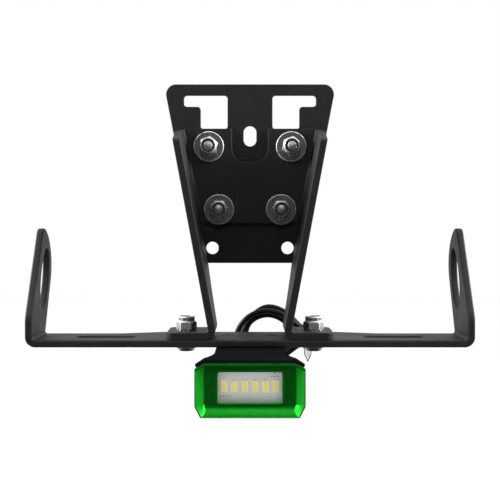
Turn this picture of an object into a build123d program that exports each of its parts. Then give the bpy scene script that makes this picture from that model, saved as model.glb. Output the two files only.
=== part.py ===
from build123d import *

import os
from math import acos, atan2, cos, degrees, hypot, radians, sin, sqrt, tan

# Tail tidy, drawn as it hangs from the undertail and seen from its underside.
# X runs across the motorbike, Y from the viewer to the undertail, Z up the mounting plate.
# The origin lies midway between the two undertail holes, on the plate's rear face.
# All sizes are in millimetres.

# Sheet metal
plate_thick = 3.0
arm_thick = 4.0
bar_thick = 4.0
lamp_sheet = 2.0
bend_inner = 1.5
bend_relief = 2.0
bolt_hole = 6.5

# Mounting plate, with heights measured from the undertail holes
plate_width_top = 102.8
plate_width_bottom = 61.6
plate_height = 106.6
plate_drop = 9.0
plate_top_corner = 6.0
plate_bottom_corner = 3.0
undertail_span = 44.8
undertail_hole = 7.4
wire_slot_width = 7.6
wire_slot_length = 12.2
wire_slot_height = 66.7
hook_side_margin = 10.7
hook_top_margin = 6.6
hook_arm_width = 26.0
hook_arm_height = 6.8
hook_leg_width = 16.0
hook_leg_height = 13.35
hook_corner = 2.0

# Arm bracket: a web on the plate, two leaning flanges and two feet
arm_lean = 10.6
arm_width_low = 61.1
arm_reach = 50.0
web_top = 70.7
web_bottom = 14.5
flange_front_drop = 11.0
flange_front_corner = 2.0
fold_corner_drop = 3.6
flange_straight_drop = 9.0
flange_belly = 2.6
notch_width = 21.2
notch_margin = 9.7
notch_corner = 8.0
upper_bolt_height = 59.9
lower_bolt_height = 22.8
upper_bolt_inset = 13.3
lower_bolt_inset = 12.4
upper_nut_turn = 20.0
lower_nut_turn = 0.0
foot_length = 22.7
foot_depth = 26.5
foot_corner = 3.5
foot_bolt_inset = 10.0

# Indicator bar, hung below the undertail holes
bar_drop = 48.2
bar_length = 241.4
bar_depth_end = 30.0
bar_depth_middle = 37.0
bar_wide_length = 98.0
bar_taper_length = 24.0
slot_span = 157.6
slot_length = 33.5
slot_width = 6.5
slot_inset = 14.5

# Upturned tabs of the bar, with depths from the near edge and heights above the bar
tab_front_height = 11.9
tab_slant = 28.0
tab_front_corner = 12.0
tab_top_corner = 5.5
tab_radius = 22.4
tab_centre_depth = 22.0
tab_centre_height = 38.9
indicator_depth = 28.5
indicator_height = 31.6
indicator_long = 35.4
indicator_short = 16.0
indicator_tilt = 20.0

# Lamp bracket: a flat sheet under the bar, with two wings folded down at its front corners
lamp_reach = 40.1
lamp_sheet_back = 33.0
lamp_sheet_corner = 4.0
neck_width = 36.4
neck_straight = 15.0
flare_width = 44.4
flare_from_front = 6.8
wing_fold_width = 45.2
wing_angle = 26.6

# Number plate lamp
lamp_width = 54.2
lamp_height = 26.5
lamp_depth = 14.0
lamp_lip = 1.5
lamp_flare_depth = 7.0
lamp_body_width = 47.2
lamp_body_rise = 2.5
lamp_body_cut = 1.5
lamp_low_cut_width = 2.9
lamp_low_cut_height = 5.5
lamp_rim = 0.5
recess_depth = 3.4
recess_top_wall = 1.3
recess_side_wall = 1.1
recess_side_cove = 2.5
scoop_radius = 6.0
panel_thick = 1.4
window_side_margin = 7.75
window_height = 15.3
window_drop = 12.2
window_corner = 1.0
bead_width = 1.0
bead_rise = 0.8
lens_lap = 1.0
lens_thick = 1.0
board_lap = 1.0
board_thick = 1.2
board_side_gap = 0.1
led_count = 6
led_end_gap = 1.475
led_width = 3.1
led_height = 5.9
led_thick = 0.8
led_gap = 0.2
led_rim = 0.25
phosphor_thick = 0.3
chip_width = 0.7
chip_height = 0.5
chip_thick = 0.4
chip_pitch = 1.5
chip_row_offset = 4.8
chip_row_inset = 3.6
chips_above = 3
chips_below = 4
lone_chip_rise = 1.8
back_lap = 3.4
back_height_lap = 0.8
back_thick = 1.6
back_corner = 2.0
lamp_screw_span = 24.0
lamp_screw_from_front = 10.0

# Metric fasteners
m6 = 6.0
m6_flats = 10.0
m6_nut_height = 7.6
m6_hex_height = 5.0
m6_collar = 9.2
m6_collar_edge = 0.4
m6_nylon_bore = 7.8
m6_nylon_height = 2.0
m6_proud = 0.3
m6_tip_chamfer = 0.7
m6_tip_dome = 0.5
m6_washer = 18.0
m6_washer_thick = 1.6
m6_washer_hole = 6.4
m6_head = 12.6
m6_head_flange = 1.6
m6_dome = 12.0
m6_dome_bulge = 0.5
m6_crown = 8.4
m6_head_height = 3.3
m6_key = 4.0
m6_key_depth = 1.8
m4 = 4.0
m4_head = 7.6
m4_flats = 7.0
m4_nut_height = 3.2
m4_proud = 0.8
m4_key = 2.5
m4_key_depth = 1.2
bracket_screw_span = 24.0
bracket_screw_inset = 23.0
m25 = 2.5
m25_head = 4.6
m25_length = 4.0
m25_key = 1.5
m25_key_depth = 0.6
m2 = 2.0
m2_head = 3.4
m2_head_height = 1.2
m2_length = 5.0
m2_key = 1.3
m2_key_depth = 0.7
screw_clearance = 0.15
thread_clearance = 0.05

# Cable, coil, tie and cable end
cable_dia = 3.2
grommet_neck = 6.0
grommet_collar = 8.4
grommet_flange = 1.1
grommet_nose_root = 6.6
grommet_nose_tip = 4.8
grommet_nose = 8.0
lead_straight = 12.6
lead_end_x = 4.2
bend_share = 0.45
coil_depth = 9.8
coil_gap = 2.4
coil_left = -10.0
coil_drop = 6.8
coil_bundle = 9.6
coil_upper_radius = 20.0
coil_lower_radius = 16.5
coil_crest_x = 11.5
coil_crest_rise = 15.6
coil_crest_radius = 16.0
coil_tip_x = 29.4
coil_end_x = 37.0
coil_end_drop = 3.1
coil_hole_drop = 3.8
coil_hole_upper_radius = 11.5
coil_hole_lower_radius = 8.0
coil_hole_tip_x = 22.0
coil_hole_tip_radius = 2.0
tie_x = 33.6
tie_width = 4.3
tie_thick = 1.2
tie_clearance = 0.2
tie_head_width = 5.6
tie_head_depth = 4.4
tie_head_height = 4.8
tie_head_below = 0.9
tie_tail_length = 8.2
tie_tail_point = 4.6
tail_x = -8.0
tail_length = 17.6
sleeve_dia = 5.0
sleeve_length = 7.0
wire_dia = 1.7
wire_length = 4.0
wire_spread = 2.2
bullet_dia = 4.0
bullet_length = 12.0
bullet_mouth = 3.0
bullet_mouth_depth = 8.0

# Levels that several pieces share
near_edge = -(plate_thick + arm_reach)
web_front = -(plate_thick + arm_thick)
plate_top = plate_height - plate_drop
bar_top = -bar_drop
bar_bottom = bar_top - bar_thick
foot_top = bar_top + arm_thick
foot_rear = near_edge + foot_depth
lamp_top = bar_bottom - lamp_sheet
lamp_front = near_edge - lamp_reach
lamp_back = lamp_front + lamp_depth
lamp_bottom = lamp_top - lamp_height
window_z = lamp_top - window_drop
panel_front = lamp_front + recess_depth
lens_front = panel_front + panel_thick
lens_back = lens_front + lens_thick
board_front = lens_back + led_gap + led_thick
board_back = board_front + board_thick
back_front = lamp_back - back_thick
recess_width = lamp_body_width - 2 * recess_side_wall
window_width = lamp_body_width - 2 * window_side_margin
led_pitch = (window_width - 2 * led_end_gap - led_width) / (led_count - 1)
board_width = window_width + 2 * (lens_lap + board_lap)
board_height = window_height + 2 * (lens_lap + board_lap)
back_width = board_width + 2 * back_lap
back_height = board_height + 2 * back_height_lap
coil_front = near_edge + bar_depth_middle + coil_gap
coil_y = coil_front + coil_depth / 2
coil_z = bar_top - coil_drop
coil_end_z = bar_top - coil_end_drop
lean = radians(arm_lean)
flange_across = arm_thick / cos(lean)
far = 400.0


def plate_half(height):
    """Half width of the mounting plate at a height."""
    share = (height + plate_drop) / plate_height
    return (plate_width_bottom + share * (plate_width_top - plate_width_bottom)) / 2


def arm_half(height):
    """Half width of the arm bracket over its flanges at a height."""
    return arm_width_low / 2 + height * tan(lean)


foot_end = arm_half(foot_top) + foot_length
foot_bolt_x = foot_end - foot_bolt_inset
foot_bolt_y = near_edge + foot_depth / 2
upper_bolt_x = arm_half(upper_bolt_height) - flange_across - upper_bolt_inset
lower_bolt_x = arm_half(lower_bolt_height) - flange_across - lower_bolt_inset
plate_bolts_at = [
    (side * across, height)
    for across, height in ((upper_bolt_x, upper_bolt_height), (lower_bolt_x, lower_bolt_height))
    for side in (-1, 1)
]
plate_nut_turns = [upper_nut_turn, upper_nut_turn, lower_nut_turn, lower_nut_turn]
foot_bolts_at = [(side * foot_bolt_x, foot_bolt_y) for side in (-1, 1)]
bracket_screws_at = [
    (side * bracket_screw_span / 2, near_edge + bracket_screw_inset) for side in (-1, 1)
]
lamp_screws_at = [
    (side * lamp_screw_span / 2, lamp_front + lamp_screw_from_front) for side in (-1, 1)
]
back_screws_at = [
    (side * (board_width + back_lap) / 2, window_z) for side in (-1, 1)
]


# Drawing planes and small helpers
def front(y):
    """Plane facing the viewer at depth y: X across, Z up, extruded towards the viewer."""
    return Plane((0, y, 0), x_dir=(1, 0, 0), z_dir=(0, -1, 0))


def above(z):
    """Plane facing up at height z."""
    return Plane((0, 0, z))


def from_right(x):
    """Plane facing +X: Y across, Z up."""
    return Plane((x, 0, 0), x_dir=(0, 1, 0), z_dir=(1, 0, 0))


def outline(*lines):
    return make_face(Curve() + list(lines))


def rounded(sketch, radius, *corners):
    """Round the vertices of a sketch that lie nearest the given corners."""
    picks = [sketch.vertices().sort_by_distance((x, y, 0))[0] for x, y in corners]
    return fillet(picks, radius)


def holes(places, diameter):
    return [Pos(x, y) * Circle(diameter / 2) for x, y in places]


def both_sides(shape):
    return shape + mirror(shape, Plane.YZ)


def polar(centre, radius, angle):
    return (centre[0] + radius * cos(angle), centre[1] + radius * sin(angle))


def bend(plane, turn, thick, length):
    """A fold: an arc of sheet about the plane's origin, from its x axis, along its normal."""
    outer = bend_inner + thick
    end = radians(turn)
    section = outline(
        Line((bend_inner, 0), (outer, 0)),
        CenterArc((0, 0), outer, 0, turn),
        Line(polar((0, 0), outer, end), polar((0, 0), bend_inner, end)),
        CenterArc((0, 0), bend_inner, 0, turn),
    )
    return extrude(plane * section, length)


def mounting_plate():
    top = plate_width_top / 2
    low = plate_width_bottom / 2
    bottom = -plate_drop
    sheet = Polygon((-low, bottom), (low, bottom), (top, plate_top), (-top, plate_top), align=None)
    sheet = rounded(sheet, plate_top_corner, (-top, plate_top), (top, plate_top))
    sheet = rounded(sheet, plate_bottom_corner, (-low, bottom), (low, bottom))
    hook_top = plate_top - hook_top_margin
    shelf = hook_top - hook_arm_height
    foot = shelf - hook_leg_height
    outer = plate_half(hook_top) - hook_side_margin
    inner = outer - hook_arm_width
    step = inner + hook_leg_width
    corners = [(inner, foot), (step, foot), (step, shelf), (outer, shelf), (outer, hook_top)]
    corners.append((inner, hook_top))
    hook = rounded(Polygon(*corners, align=None), hook_corner, *corners)
    sheet -= both_sides(hook)
    sheet -= Pos(0, wire_slot_height) * SlotOverall(wire_slot_length, wire_slot_width, rotation=90)
    sheet -= holes([(-undertail_span / 2, 0), (undertail_span / 2, 0)], undertail_hole)
    sheet -= holes(plate_bolts_at, bolt_hole)
    return extrude(front(0) * sheet, plate_thick)


def arm_web():
    """The flat web with its notch around the wire slot."""
    flat = (bend_inner + arm_thick) / cos(lean)
    top = arm_half(web_top) - flat
    low = arm_half(web_bottom) - flat
    web = Polygon((-low, web_bottom), (low, web_bottom), (top, web_top), (-top, web_top), align=None)
    notch_floor = wire_slot_height - wire_slot_length / 2 - notch_margin
    half = notch_width / 2
    notch = Polygon(
        (-half, notch_floor), (half, notch_floor), (half, plate_top), (-half, plate_top), align=None
    )
    web -= rounded(notch, notch_corner, (-half, notch_floor), (half, notch_floor))
    web -= holes(plate_bolts_at, bolt_hole)
    return extrude(front(-plate_thick) * web, arm_thick)


def arm_side():
    """Right flange, its fold to the web with a cut top corner, and the foot folded outwards below."""
    outward = Vector(cos(lean), 0, -sin(lean))
    upward = Vector(sin(lean), 0, cos(lean))
    foot_bend_z = foot_top + bend_inner
    foot_bend = Vector(arm_half(foot_bend_z) + bend_inner / cos(lean), near_edge, foot_bend_z)
    outer_low = foot_bend - outward * bend_inner
    inner_low = outer_low - outward * arm_thick
    top = arm_half(web_top)
    leaning = Polygon(
        (outer_low.X, outer_low.Z),
        (top, web_top),
        (top - flange_across, web_top),
        (inner_low.X, inner_low.Z),
        align=None,
    )
    slab = extrude(front(0) * leaning, -near_edge)

    web_fold = web_front - bend_inner
    step = web_bottom - bend_relief
    belly_top = -flange_straight_drop
    front_top = web_top - flange_front_drop
    below = bar_top
    profile = outline(
        Line((near_edge, below), (near_edge, front_top)),
        Line((near_edge, front_top), (web_fold, web_top)),
        Line((web_fold, web_top), (web_fold, step)),
        Line((web_fold, step), (-plate_thick, step)),
        Line((-plate_thick, step), (-plate_thick, belly_top)),
        SagittaArc((-plate_thick, belly_top), (foot_rear, foot_bend_z), -flange_belly),
        Line((foot_rear, foot_bend_z), (foot_rear, below)),
        Line((foot_rear, below), (near_edge, below)),
    )
    profile = rounded(profile, flange_front_corner, (near_edge, front_top))
    flange = slab & extrude(from_right(0) * profile, far)

    fold_foot = outer_low - outward * (arm_thick + bend_inner)
    fold_origin = Vector(fold_foot.X, web_fold, fold_foot.Z)
    fold_length = (web_top - fold_foot.Z) / cos(lean) + arm_thick
    fold = bend(Plane(fold_origin, x_dir=outward, z_dir=upward), 90, arm_thick, fold_length)
    fold &= Pos(0, 0, (web_top + web_bottom) / 2) * Box(far, far, web_top - web_bottom)

    web_end = top - (bend_inner + arm_thick) / cos(lean)
    cut_level = web_top - fold_corner_drop
    cut_end = arm_half(cut_level)
    corner = Polygon(
        (web_end, web_top),
        (cut_end, cut_level),
        (cut_end + arm_thick, cut_level),
        (cut_end + arm_thick, web_top),
        align=None,
    )
    upright = flange + fold - extrude(front(0) * corner, far)

    foot_plane = Plane(foot_bend, x_dir=(0, 0, -1), z_dir=(0, 1, 0))
    foot_fold = bend(foot_plane, 90 + arm_lean, arm_thick, foot_depth)
    plan = Polygon(
        (foot_bend.X, near_edge),
        (foot_end, near_edge),
        (foot_end, foot_rear),
        (foot_bend.X, foot_rear),
        align=None,
    )
    plan = rounded(plan, foot_corner, (foot_end, near_edge), (foot_end, foot_rear))
    plan -= Pos(foot_bolt_x, foot_bolt_y) * Circle(bolt_hole / 2)
    foot = extrude(above(bar_top) * plan, arm_thick)
    return upright + foot_fold + foot


def arm_bracket():
    side = arm_side()
    return arm_web() + side + mirror(side, Plane.YZ)


def tab_outline():
    """Side view of a tab in depth from the near edge and height above the bar, with its oval hole."""
    centre = (tab_centre_depth, tab_centre_height)
    slant = radians(tab_slant)
    back = (bar_depth_end, bend_inner)
    along = -centre[0] * sin(slant) + (tab_front_height - centre[1]) * cos(slant)
    offset = centre[0] ** 2 + (tab_front_height - centre[1]) ** 2 - tab_radius**2
    rise = -along + sqrt(along**2 - offset)
    peak = (rise * sin(slant), tab_front_height + rise * cos(slant))
    to_back = atan2(back[1] - centre[1], back[0] - centre[0])
    span = hypot(back[0] - centre[0], back[1] - centre[1])
    low_angle = to_back + acos(tab_radius / span)
    peak_angle = atan2(peak[1] - centre[1], peak[0] - centre[0])
    shape = outline(
        Line((0, bend_inner), (0, tab_front_height)),
        Line((0, tab_front_height), peak),
        CenterArc(centre, tab_radius, degrees(low_angle), degrees(peak_angle - low_angle)),
        Line(polar(centre, tab_radius, low_angle), back),
        Line(back, (0, bend_inner)),
    )
    shape = rounded(shape, tab_top_corner, peak)
    shape = rounded(shape, tab_front_corner, (0, tab_front_height))
    oval = Ellipse(indicator_short / 2, indicator_long / 2, rotation=-indicator_tilt)
    return shape - Pos(indicator_depth, indicator_height) * oval


def bar_end():
    """The right-hand fold and its upturned tab."""
    end = bar_length / 2
    fold_x = end - bar_thick - bend_inner
    origin = (fold_x, near_edge + bar_depth_end, bar_top + bend_inner)
    fold = bend(Plane(origin, x_dir=(0, 0, -1), z_dir=(0, -1, 0)), 90, bar_thick, bar_depth_end)
    tab_plane = Plane((end - bar_thick, near_edge, bar_top), x_dir=(0, 1, 0), z_dir=(1, 0, 0))
    return fold + extrude(tab_plane * tab_outline(), bar_thick)


def countersink(places, level, diameter, head):
    """Holes for countersunk screws whose heads lie flush with a level."""
    depth = (head - diameter) / 2
    drill = Pos(0, 0, -far / 2) * Cylinder(diameter / 2, far)
    cone = Pos(0, 0, -depth / 2) * Cone(diameter / 2, head / 2, depth)
    return [Pos(x, y, level) * (drill + cone) for x, y in places]


def indicator_bar():
    flat = bar_length / 2 - bar_thick - bend_inner
    wide = bar_wide_length / 2
    narrow = wide + bar_taper_length
    end_y = near_edge + bar_depth_end
    middle_y = near_edge + bar_depth_middle
    half = [(0, near_edge), (flat, near_edge), (flat, end_y), (narrow, end_y)]
    half += [(wide, middle_y), (0, middle_y)]
    plan = both_sides(Polygon(*half, align=None))
    slot = SlotOverall(slot_length, slot_width)
    plan -= [Pos(side * slot_span / 2, near_edge + slot_inset) * slot for side in (-1, 1)]
    plan -= holes(foot_bolts_at, bolt_hole)
    bar = extrude(above(bar_bottom) * plan, bar_thick) + both_sides(bar_end())
    return bar - countersink(
        bracket_screws_at, bar_top, m4 + 2 * screw_clearance, m4_head + 2 * screw_clearance
    )


def wing_section():
    """Front view of the lamp bracket's sheet, flat with its two wings folded down."""
    angle = radians(wing_angle)
    fold = wing_fold_width / 2
    end = lamp_width / 2
    end_z = bar_bottom - (end - fold) * tan(angle)
    under = fold - lamp_sheet * tan(angle / 2)
    low = (end - lamp_sheet * sin(angle), end_z - lamp_sheet * cos(angle))
    right = [(under, lamp_top), low, (end, end_z), (fold, bar_bottom)]
    left = [(-x, z) for x, z in reversed(right)]
    return Polygon(*right, *left, align=None)


def lamp_bracket():
    neck = neck_width / 2
    flare = flare_width / 2
    back = near_edge + lamp_sheet_back
    start = near_edge - neck_straight
    flare_y = lamp_front + flare_from_front
    end = lamp_width / 2
    half = outline(
        Line((0, back), (neck, back)),
        Line((neck, back), (neck, start)),
        TangentArc((neck, start), (flare, flare_y), tangent=(0, -1)),
        Line((flare, flare_y), (end, lamp_front)),
        Line((end, lamp_front), (0, lamp_front)),
        Line((0, lamp_front), (0, back)),
    )
    half = rounded(half, lamp_sheet_corner, (neck, back))
    plan = both_sides(half)
    sheet = extrude(front(back) * wing_section(), back - lamp_front)
    sheet &= extrude(above(lamp_bottom) * plan, -lamp_bottom)
    sheet -= [
        Pos(x, y, lamp_top) * Cylinder(m4 / 2 + screw_clearance, far) for x, y in bracket_screws_at
    ]
    return sheet - countersink(
        lamp_screws_at, bar_bottom, m25 + 2 * screw_clearance, m25_head + 2 * screw_clearance
    )


def lamp_outline(half, top, bottom, top_cut, low_cut):
    """Front view of the lamp with cut corners; each cut is its width and height."""
    right = [
        (half - low_cut[0], bottom),
        (half, bottom + low_cut[1]),
        (half, top - top_cut[1]),
        (half - top_cut[0], top),
    ]
    left = [(-x, z) for x, z in reversed(right)]
    return Polygon(*right, *left, align=None)


def centred_pad(width, height, corner=0.0):
    """A rectangle on the window's centre, seen from the front."""
    pad = RectangleRounded(width, height, corner) if corner else Rectangle(width, height)
    return Pos(0, window_z) * pad


def lamp_housing():
    half = lamp_width / 2
    slope = tan(radians(wing_angle))
    under = wing_fold_width / 2 - lamp_sheet * tan(radians(wing_angle / 2))
    top_cut = (half - under, (half - under) * slope)
    low_cut = (lamp_low_cut_width, lamp_low_cut_height)
    mouth = lamp_outline(half, lamp_top, lamp_bottom, top_cut, low_cut)
    body_half = lamp_body_width / 2
    body_cut = max(lamp_body_cut, body_half - under)
    waist = lamp_outline(
        body_half, lamp_top, lamp_bottom + lamp_body_rise, (body_cut, body_cut), low_cut
    )
    waist_y = lamp_front + lamp_flare_depth
    lip_y = lamp_front + lamp_lip
    body = extrude(front(lip_y) * mouth, lamp_lip)
    body += loft([front(lip_y) * mouth, front(waist_y) * waist], ruled=True)
    body += extrude(front(lamp_back) * waist, lamp_back - waist_y)

    floor = lamp_bottom + lamp_rim
    ceiling = lamp_top - recess_top_wall
    inner_half = half - lamp_rim
    inner_cut = (top_cut[0] - recess_top_wall * tan(radians(wing_angle / 2)), top_cut[1])
    wide = lamp_outline(inner_half, ceiling, floor, inner_cut, low_cut)
    recess_half = recess_width / 2
    panel_cut = max(recess_half - (inner_half - inner_cut[0]), window_corner / 2)
    small_cut = (panel_cut, panel_cut * inner_cut[1] / inner_cut[0])
    narrow = lamp_outline(recess_half, ceiling, floor, small_cut, low_cut)
    scoop_turn = acos((scoop_radius - recess_depth) / scoop_radius)
    scoop_top = floor + scoop_radius * sin(scoop_turn)
    scoop_turned = degrees(scoop_turn)
    scoop = outline(
        Line((lamp_front, ceiling), (panel_front, ceiling)),
        Line((panel_front, ceiling), (panel_front, scoop_top)),
        CenterArc((panel_front - scoop_radius, scoop_top), scoop_radius, -scoop_turned, scoop_turned),
        Line((lamp_front, floor), (lamp_front, ceiling)),
    )
    pocket = loft([front(panel_front) * narrow, front(lamp_front) * wide], ruled=True)
    panel_sides = pocket.edges().group_by(Axis.Y)[-1].filter_by(Axis.Z)
    pocket = fillet(panel_sides, recess_side_cove)
    pocket &= extrude(from_right(-half) * scoop, lamp_width)
    body -= pocket

    bead_margin = 2 * bead_width
    bead = centred_pad(
        window_width + bead_margin, window_height + bead_margin, window_corner + bead_width
    )
    body += extrude(front(panel_front) * bead, bead_rise)
    window = centred_pad(window_width, window_height, window_corner)
    lens_margin = 2 * (lens_lap + board_side_gap)
    lens_seat = centred_pad(window_width + lens_margin, window_height + lens_margin)
    play = 2 * board_side_gap
    board_seat = centred_pad(board_width + play, board_height + play)
    back_seat = centred_pad(back_width + play, back_height + play, back_corner)
    body -= extrude(front(lens_front) * window, recess_depth)
    body -= extrude(front(board_front) * lens_seat, board_front - lens_front)
    body -= extrude(front(back_front) * board_seat, back_front - board_front)
    body -= extrude(front(lamp_back) * back_seat, back_thick)
    tapped = m25_length - lamp_sheet + thread_clearance
    body -= [
        Pos(x, y, lamp_top - tapped / 2) * Cylinder(m25 / 2 + thread_clearance, tapped)
        for x, y in lamp_screws_at
    ]
    drilled = holes(back_screws_at, m2 + 2 * thread_clearance)
    body -= extrude(front(back_front) * Sketch(children=drilled), m2_length)
    return body


def lamp_lens():
    pad = centred_pad(window_width + 2 * lens_lap, window_height + 2 * lens_lap)
    return extrude(front(lens_back) * pad, lens_thick)


def led_board():
    return extrude(front(board_back) * centred_pad(board_width, board_height), board_thick)


def led_places():
    return [((index - (led_count - 1) / 2) * led_pitch, window_z) for index in range(led_count)]


def led_chips():
    """White packages, each with a well in its face."""
    well = extrude(
        front(-led_thick + phosphor_thick) * Rectangle(led_width - 2 * led_rim, led_height - 2 * led_rim),
        phosphor_thick,
    )
    package = extrude(front(0) * Rectangle(led_width, led_height), led_thick) - well
    return [Pos(x, board_front, z) * package for x, z in led_places()]


def led_phosphor():
    """Yellow filling of each well."""
    face = board_front - led_thick + phosphor_thick
    fill = extrude(front(0) * Rectangle(led_width - 2 * led_rim, led_height - 2 * led_rim), phosphor_thick)
    return [Pos(x, face, z) * fill for x, z in led_places()]


def board_components():
    """Small chips: a row and a lone one above the last LEDs, and a row below the first."""
    chip = extrude(front(0) * Rectangle(chip_width, chip_height), chip_thick)
    row_x = window_width / 2 - chip_row_inset
    places = [
        (side * row_x + (index - (count - 1) / 2) * chip_pitch, window_z + side * chip_row_offset)
        for side, count in ((1, chips_above), (-1, chips_below))
        for index in range(count)
    ]
    places.append((row_x, window_z + chip_row_offset + lone_chip_rise))
    return [Pos(x, board_front, z) * chip for x, z in places]


def lamp_back_plate():
    pad = centred_pad(back_width, back_height, back_corner)
    pad -= holes(back_screws_at, m2 + 2 * screw_clearance)
    pad -= Pos(0, window_z) * Circle(grommet_neck / 2 + thread_clearance)
    return extrude(front(lamp_back) * pad, back_thick)


# Fasteners stand on their seat at the origin, with the shank along +Z
def key_socket(flats, depth, level):
    """A hexagon socket that opens downwards at a level."""
    return extrude(above(level) * RegularPolygon(flats / 2, 6, major_radius=False), depth)


def button_bolt(length):
    """Flanged button head below the origin, shank above it."""
    tip_edge = (m6 / 2 - m6_tip_chamfer, length - m6_tip_dome)
    shank_top = (m6 / 2, length - m6_tip_dome - m6_tip_chamfer)
    dome_edge = (m6_dome / 2, -m6_head_flange)
    crown_edge = (m6_crown / 2, -m6_head_height)
    profile = outline(
        TangentArc((0, length), tip_edge, tangent=(1, 0)),
        Line(tip_edge, shank_top),
        Line(shank_top, (m6 / 2, 0)),
        Line((m6 / 2, 0), (m6_head / 2, 0)),
        Line((m6_head / 2, 0), (m6_head / 2, -m6_head_flange / 2)),
        Line((m6_head / 2, -m6_head_flange / 2), dome_edge),
        SagittaArc(dome_edge, crown_edge, -m6_dome_bulge),
        Line(crown_edge, (0, -m6_head_height)),
        Line((0, -m6_head_height), (0, length)),
    )
    bolt = revolve(Plane.XZ * profile, Axis.Z)
    return bolt - key_socket(m6_key, m6_key_depth, -m6_head_height)


def lock_nut():
    """Hexagon with a round collar that holds a nylon ring."""
    corner = m6_flats / 2 / cos(radians(30))
    chamfer = corner - m6_flats / 2
    collar = m6_collar / 2
    edge = m6_collar_edge
    profile = outline(
        Line((0, 0), (m6_flats / 2, 0)),
        Line((m6_flats / 2, 0), (corner, chamfer)),
        Line((corner, chamfer), (corner, m6_hex_height - chamfer)),
        Line((corner, m6_hex_height - chamfer), (collar, m6_hex_height)),
        Line((collar, m6_hex_height), (collar, m6_nut_height - edge)),
        Line((collar, m6_nut_height - edge), (collar - edge, m6_nut_height)),
        Line((collar - edge, m6_nut_height), (0, m6_nut_height)),
        Line((0, m6_nut_height), (0, 0)),
    )
    blank = revolve(Plane.XZ * profile, Axis.Z)
    nut = blank & extrude(RegularPolygon(m6_flats / 2, 6, major_radius=False), m6_nut_height)
    nut -= Cylinder(m6 / 2 + thread_clearance, far)
    return nut - extrude(above(m6_hex_height) * Circle(m6_nylon_bore / 2), m6_nut_height)


def nylon_ring():
    ring = Circle(m6_nylon_bore / 2 - thread_clearance) - Circle(m6 / 2 + thread_clearance)
    return extrude(above(m6_hex_height) * ring, m6_nylon_height)


def washer():
    return extrude(Circle(m6_washer / 2) - Circle(m6_washer_hole / 2), m6_washer_thick)


def hex_nut(flats, height, bore):
    nut = RegularPolygon(flats / 2, 6, major_radius=False) - Circle(bore / 2 + thread_clearance)
    return extrude(nut, height)


def countersunk_screw(diameter, head, length, key, key_depth):
    """Flat head with its top at the origin, shank downwards."""
    depth = (head - diameter) / 2
    profile = Polygon(
        (0, 0), (head / 2, 0), (diameter / 2, -depth), (diameter / 2, -length), (0, -length), align=None
    )
    screw = revolve(Plane.XZ * profile, Axis.Z)
    return screw - key_socket(key, key_depth, -key_depth)


def pan_screw(diameter, head, head_height, length, key, key_depth):
    """Pan head below the origin, shank above it."""
    profile = Polygon(
        (0, -head_height),
        (head / 2 - head_height / 2, -head_height),
        (head / 2, -head_height / 2),
        (head / 2, 0),
        (diameter / 2, 0),
        (diameter / 2, length),
        (0, length),
        align=None,
    )
    screw = revolve(Plane.XZ * profile, Axis.Z)
    return screw - key_socket(key, key_depth, -head_height)


def on_front(places, depth, piece):
    """Copies of a piece at front-view places, standing on a depth and pointing at the viewer."""
    return [Plane((x, depth, z), x_dir=(1, 0, 0), z_dir=(0, -1, 0)) * piece for x, z in places]


def on_level(places, level, piece):
    """Copies of a piece at plan places, standing on a level."""
    return [Pos(x, y, level) * piece for x, y in places]


washer_front = web_front - m6_washer_thick
plate_bolt_length = -washer_front + m6_nut_height + m6_proud
foot_bolt_length = bar_thick + arm_thick + m6_nut_height + m6_proud
bracket_screw_length = bar_thick + lamp_sheet + m4_nut_height + m4_proud


def back_screws():
    """Pan heads on the back plate, pointing at the viewer."""
    return on_front(
        back_screws_at, lamp_back, pan_screw(m2, m2_head, m2_head_height, m2_length, m2_key, m2_key_depth)
    )


# Cable
def cable_grommet():
    """Flanges on both faces of the back plate, and a nose that tapers to the cable."""
    neck = grommet_neck / 2
    collar = grommet_collar / 2
    inner = -back_thick - grommet_flange
    profile = Polygon(
        (0, inner),
        (collar, inner),
        (collar, -back_thick),
        (neck, -back_thick),
        (neck, 0),
        (collar, 0),
        (collar, grommet_flange),
        (grommet_nose_root / 2, grommet_flange),
        (grommet_nose_tip / 2, grommet_nose),
        (0, grommet_nose),
        align=None,
    )
    turned = revolve(Plane.XZ * profile, Axis.Z)
    return Plane((0, lamp_back, window_z), x_dir=(1, 0, 0), z_dir=(0, 1, 0)) * turned


def route_radii(points):
    """Largest arc that each corner of a route allows."""
    corners = []
    for before, here, after in zip(points, points[1:], points[2:]):
        first = Vector(*here) - Vector(*before)
        second = Vector(*after) - Vector(*here)
        half_turn = radians(first.get_angle(second)) / 2
        corners.append(bend_share * min(first.length, second.length) / tan(half_turn))
    return corners


def cable_tube(name, points):
    """A round cable along straight runs joined by tangent arcs."""
    corners = route_radii(points)
    path = FilletPolyline(*points, radius=corners)
    print(name, "radii", [round(radius, 1) for radius in corners], "length", round(path.length, 1))
    section = Plane(path @ 0, z_dir=path % 0) * Circle(cable_dia / 2)
    return sweep(section, path=path)


lead_start = lamp_back + grommet_nose
lead_end_z = coil_z - coil_lower_radius + coil_bundle - cable_dia / 2
lead_points = [
    (0.0, lead_start, window_z),
    (0.0, lead_start + lead_straight, window_z),
    (1.0, -43.0, -68.2),
    (lead_end_x, coil_front - lead_straight, lead_end_z),
    (lead_end_x, coil_front, lead_end_z),
]


def outer_tangent(first, first_radius, second, second_radius, side):
    """Angle of the line that touches two circles on their upper (1) or lower (-1) side."""
    run = atan2(second[1] - first[1], second[0] - first[0])
    span = hypot(second[0] - first[0], second[1] - first[1])
    return run + side * acos((first_radius - second_radius) / span)


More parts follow.
